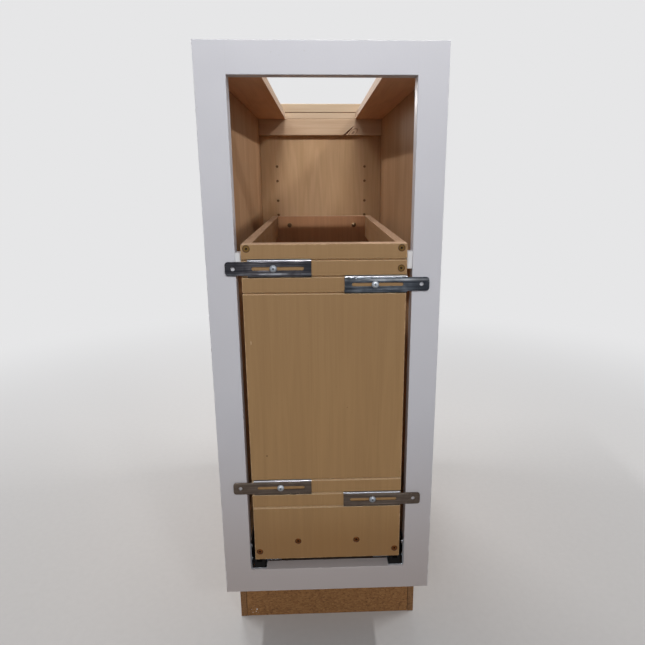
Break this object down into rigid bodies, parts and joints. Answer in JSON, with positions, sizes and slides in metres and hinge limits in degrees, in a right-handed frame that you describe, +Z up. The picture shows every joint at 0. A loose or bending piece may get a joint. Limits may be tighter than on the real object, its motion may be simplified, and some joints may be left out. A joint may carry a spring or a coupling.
{
  "type": "pull out trash cabinet",
  "caption": "Narrow framed base cabinet with an open-topped pull-out box on undermount slides; adjustable steel brackets on its front take the door.",
  "frame": {"origin": "on the floor, under the middle of the object's bounding box", "axes": "+X to the right of someone facing the cabinet, +Y into the cabinet, +Z up"},
  "size_m": [0.3048, 0.6148, 0.8763],
  "materials": {
    "painted_wood": "satin cool white paint on solid wood",
    "panel_laminate": "warm maple-look laminate with raw particleboard edges",
    "particleboard": "raw brown particleboard",
    "plywood": "clear-coated plywood and knotty pale wood",
    "maple_panel": "fine vertical maple grain, satin clear coat",
    "solid_maple": "pinkish pale maple, satin clear coat",
    "zinc_steel": "bright zinc plate",
    "brass_screw": "yellow zinc, dulled",
    "ball_steel": "polished steel balls",
    "white_plastic": "white moulded plastic",
    "black_plastic": "black moulded plastic",
    "cage_plastic": "dark grey moulded plastic"
  },
  "bodies": {
    "cabinet": {"left_stile": "painted_wood", "right_stile": "painted_wood", "top_rail": "painted_wood", "bottom_rail": "painted_wood", "left_side_panel": "panel_laminate", "right_side_panel": "panel_laminate", "back_panel": "panel_laminate", "floor_panel": "panel_laminate", "toe_kick": "particleboard", "left_gusset": "plywood", "right_gusset": "plywood", "rear_tie": "plywood", "top_strip": "plywood", "back_nailer": "plywood", "frame_dowels": "solid_maple", "slide_screws": "zinc_steel", "guide_screws": "zinc_steel", "left_cabinet_slide": "zinc_steel", "right_cabinet_slide": "zinc_steel", "left_side_guide": "white_plastic", "right_side_guide": "white_plastic", "left_slide_cap": "black_plastic", "right_slide_cap": "black_plastic"},
    "pullout": {"front_panel": "maple_panel", "rear_panel": "maple_panel", "left_upper_rail": "solid_maple", "right_upper_rail": "solid_maple", "left_lower_rail": "solid_maple", "right_lower_rail": "solid_maple", "bottom_board": "maple_panel", "front_wood_screws": "brass_screw", "rear_wood_screws": "brass_screw", "bracket_screws": "zinc_steel", "rear_panel_screws": "zinc_steel", "left_board_slide": "zinc_steel", "right_board_slide": "zinc_steel", "board_slide_screws": "zinc_steel"},
    "left_middle": {"left_middle_slide": "zinc_steel"},
    "left_lower_race": {"left_lower_cage": "cage_plastic", "left_lower_balls": "ball_steel"},
    "left_upper_race": {"left_upper_cage": "cage_plastic", "left_upper_balls": "ball_steel"},
    "right_middle": {"right_middle_slide": "zinc_steel"},
    "right_lower_race": {"right_lower_cage": "cage_plastic", "right_lower_balls": "ball_steel"},
    "right_upper_race": {"right_upper_cage": "cage_plastic", "right_upper_balls": "ball_steel"},
    "upper_left_door_bracket": {"upper_left_bracket": "zinc_steel"},
    "upper_right_door_bracket": {"upper_right_bracket": "zinc_steel"},
    "lower_left_door_bracket": {"lower_left_bracket": "zinc_steel"},
    "lower_right_door_bracket": {"lower_right_bracket": "zinc_steel"}
  },
  "joints": [
    {"name": "pullout_slide", "type": "slide", "parent": "cabinet", "child": "pullout", "axis": [0, -1, 0], "range_m": [0, 0.5]},
    {"name": "left_middle_slide", "type": "slide", "parent": "cabinet", "child": "left_middle", "axis": [0, -1, 0], "range_m": [0, 0.25]},
    {"name": "left_lower_race_slide", "type": "slide", "parent": "cabinet", "child": "left_lower_race", "axis": [0, -1, 0], "range_m": [0, 0.125]},
    {"name": "left_upper_race_slide", "type": "slide", "parent": "cabinet", "child": "left_upper_race", "axis": [0, -1, 0], "range_m": [0, 0.375]},
    {"name": "right_middle_slide", "type": "slide", "parent": "cabinet", "child": "right_middle", "axis": [0, -1, 0], "range_m": [0, 0.25]},
    {"name": "right_lower_race_slide", "type": "slide", "parent": "cabinet", "child": "right_lower_race", "axis": [0, -1, 0], "range_m": [0, 0.125]},
    {"name": "right_upper_race_slide", "type": "slide", "parent": "cabinet", "child": "right_upper_race", "axis": [0, -1, 0], "range_m": [0, 0.375]},
    {"name": "upper_left_bracket_slide", "type": "slide", "parent": "pullout", "child": "upper_left_door_bracket", "axis": [1, 0, 0], "range_m": [-0.0082, 0.0255]},
    {"name": "upper_right_bracket_slide", "type": "slide", "parent": "pullout", "child": "upper_right_door_bracket", "axis": [1, 0, 0], "range_m": [-0.0345, 0.0059]},
    {"name": "lower_left_bracket_slide", "type": "slide", "parent": "pullout", "child": "lower_left_door_bracket", "axis": [1, 0, 0], "range_m": [-0.0098, 0.0306]},
    {"name": "lower_right_bracket_slide", "type": "slide", "parent": "pullout", "child": "lower_right_door_bracket", "axis": [1, 0, 0], "range_m": [-0.0326, 0.0078]}
  ],
  "couplings": [
    {"joint": "left_middle_slide", "follows": "pullout_slide", "ratio": 0.5},
    {"joint": "left_lower_race_slide", "follows": "pullout_slide", "ratio": 0.25},
    {"joint": "left_upper_race_slide", "follows": "pullout_slide", "ratio": 0.75},
    {"joint": "right_middle_slide", "follows": "pullout_slide", "ratio": 0.5},
    {"joint": "right_lower_race_slide", "follows": "pullout_slide", "ratio": 0.25},
    {"joint": "right_upper_race_slide", "follows": "pullout_slide", "ratio": 0.75}
  ]
}
